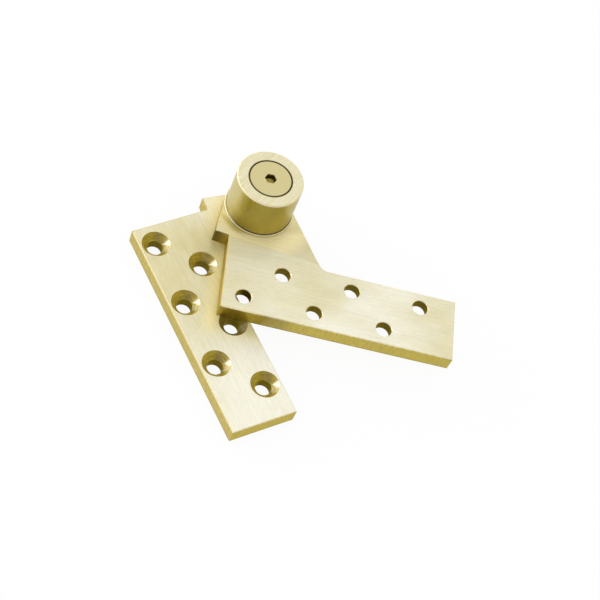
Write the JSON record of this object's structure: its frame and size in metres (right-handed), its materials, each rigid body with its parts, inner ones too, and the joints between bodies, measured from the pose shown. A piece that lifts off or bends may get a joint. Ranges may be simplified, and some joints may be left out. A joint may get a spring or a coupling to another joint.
{
  "type": "offset pivot hinge",
  "caption": "Offset pivot hinge for a door head: frame leaf, door leaf with a knuckle barrel, and a retractable pivot pin worked by a flush adjusting screw.",
  "frame": {"origin": "on the pivot axis, at the back face of the frame leaf", "axes": "+Z along the pivot axis, from the frame leaf towards the knuckle barrel; the frame leaf's long body runs along +X, beside the pivot axis at negative Y"},
  "size_m": [0.1166, 0.1218, 0.0397],
  "materials": {
    "leaf_brass": "satin, brushed along each leaf",
    "barrel_brass": "satin, turned",
    "screw_brass": "matt, faced",
    "bearing_bronze": "sintered bronze, oiled",
    "pin_steel": "ground",
    "spring_steel": "dark spring steel"
  },
  "bodies": {
    "frame": {"frame_leaf": "leaf_brass", "frame_bush": "bearing_bronze"},
    "door": {"door_leaf": "leaf_brass", "knuckle_barrel": "barrel_brass", "barrel_bush": "bearing_bronze"},
    "screw": {"adjusting_screw": "screw_brass", "screw_circlip": "spring_steel"},
    "pin": {"pivot_pin": "pin_steel", "pin_key": "pin_steel"}
  },
  "joints": [
    {"name": "door_swing", "type": "hinge", "parent": "frame", "child": "door", "pos_m": [0, 0, 0], "axis": [0, 0, 1], "range_deg": [-57, 123]},
    {"name": "screw_turn", "type": "hinge", "parent": "door", "child": "screw", "pos_m": [0, 0, 0], "axis": [0, 0, -1], "range_deg": [0, 2160]},
    {"name": "pin_retract", "type": "slide", "parent": "door", "child": "pin", "axis": [0, 0, 1], "range_m": [0, 0.00953]}
  ],
  "couplings": [
    {"joint": "pin_retract", "follows": "screw_turn", "m_per_rad": 0.00025266}
  ]
}
